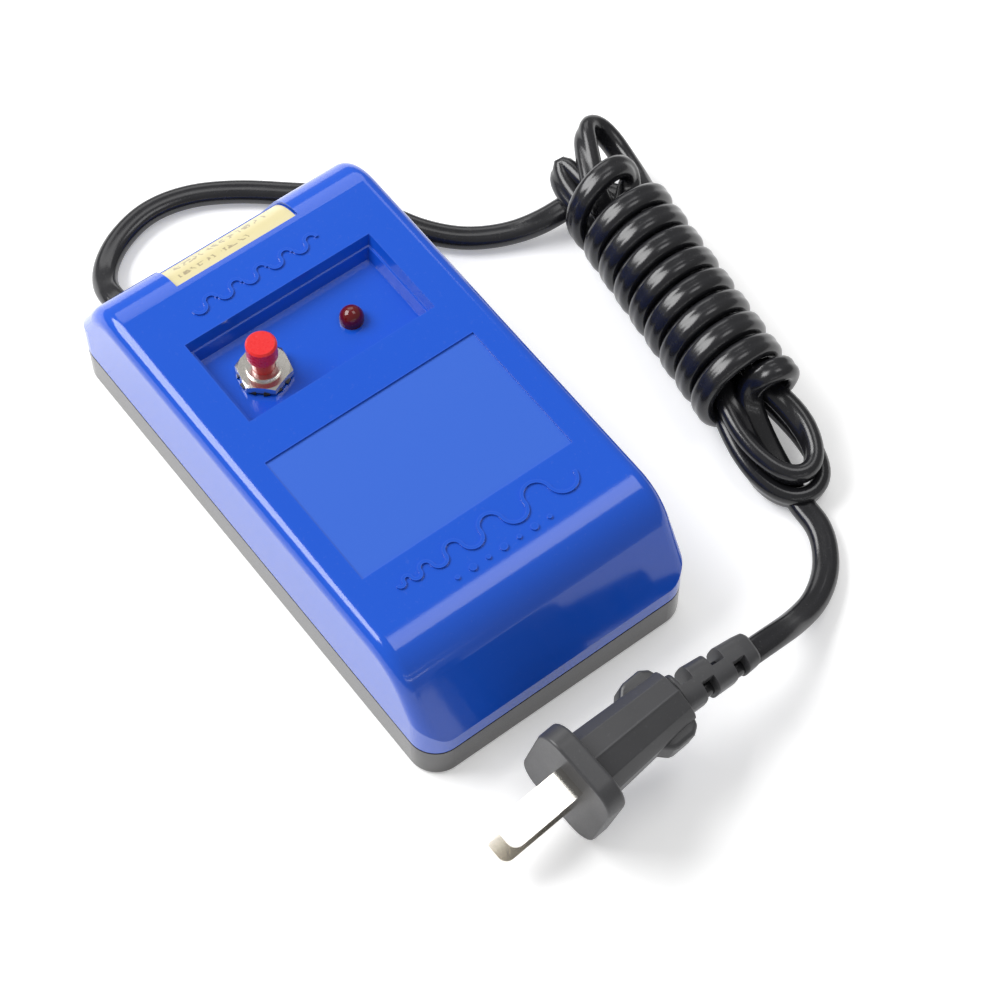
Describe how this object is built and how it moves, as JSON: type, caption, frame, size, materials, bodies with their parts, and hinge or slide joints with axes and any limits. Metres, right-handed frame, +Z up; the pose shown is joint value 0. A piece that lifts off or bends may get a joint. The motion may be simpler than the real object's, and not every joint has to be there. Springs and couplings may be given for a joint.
{
  "type": "watch demagnetizer",
  "caption": "Bench demagnetizer: blue sloped plastic case on a black base, red push switch and lamp in a recess, shallow rest field, and a mains cord wound into a hank with its plug.",
  "frame": {"origin": "centre of the case's footprint, on the surface it stands on", "axes": "+Z up, -Y towards the sloped nose, +Y towards the cord end, +X to the right seen from the nose"},
  "size_m": [0.1215, 0.1778, 0.0365],
  "materials": {
    "cover_blue": "polished blue ABS",
    "base_black": "moulded black plastic",
    "screw_steel": "zinc-plated steel",
    "label_paper": "printed yellow sticker",
    "cap_red": "polished red plastic",
    "nickel": "bright nickel plate",
    "spring_steel": "spring wire",
    "housing_black": "phenolic moulding",
    "contact_brass": "bare brass",
    "lens_red": "dark red clear resin",
    "resistor_tan": "lacquered ceramic",
    "diode_black": "moulded epoxy",
    "bobbin_nylon": "natural nylon",
    "copper_wire": null,
    "tape_yellow": "polyester tape",
    "core_iron": null,
    "grommet_rubber": "black PVC",
    "clamp_nylon": "natural nylon",
    "wire_brown": "PVC insulation",
    "wire_blue": "PVC insulation",
    "wire_red": "PVC insulation",
    "wire_grey": "PVC insulation",
    "sleeve_black": "heat-shrink sleeve",
    "cord_pvc": "glossy black PVC sheath",
    "plug_pvc": "matt charcoal PVC"
  },
  "bodies": {
    "housing": {"top_shell": "cover_blue", "bottom_shell": "base_black", "case_screws": "screw_steel", "rear_label": "label_paper", "switch_bushing": "nickel", "switch_nut": "nickel", "switch_lock_washer": "spring_steel", "switch_body": "housing_black", "switch_spring": "spring_steel", "switch_terminals": "contact_brass", "led_lens": "lens_red", "led_legs": "screw_steel", "led_resistor": "resistor_tan", "led_diode": "diode_black", "coil_bobbin": "bobbin_nylon", "coil_winding": "copper_wire", "coil_tape": "tape_yellow", "core_stack": "core_iron", "core_brackets": "screw_steel", "core_screws": "screw_steel", "cord_grommet": "grommet_rubber", "cord_clamp": "clamp_nylon", "clamp_screws": "screw_steel", "wire_live": "wire_brown", "wire_neutral": "wire_blue", "wire_coil": "wire_red", "wire_lamp": "wire_grey", "wire_sleeves": "sleeve_black", "cord_lead": "cord_pvc", "cord_hank": "cord_pvc", "cord_tail": "cord_pvc", "plug_body": "plug_pvc", "plug_relief": "plug_pvc", "plug_blades": "nickel"},
    "button": {"switch_cap": "cap_red", "switch_bridge": "contact_brass"}
  },
  "joints": [
    {"name": "button_press", "type": "slide", "parent": "housing", "child": "button", "axis": [0, 0, -1], "range_m": [0, 0.0019], "stiffness_N_per_m": 600, "springref_m": -0.001, "deforming": ["switch_spring"]}
  ]
}
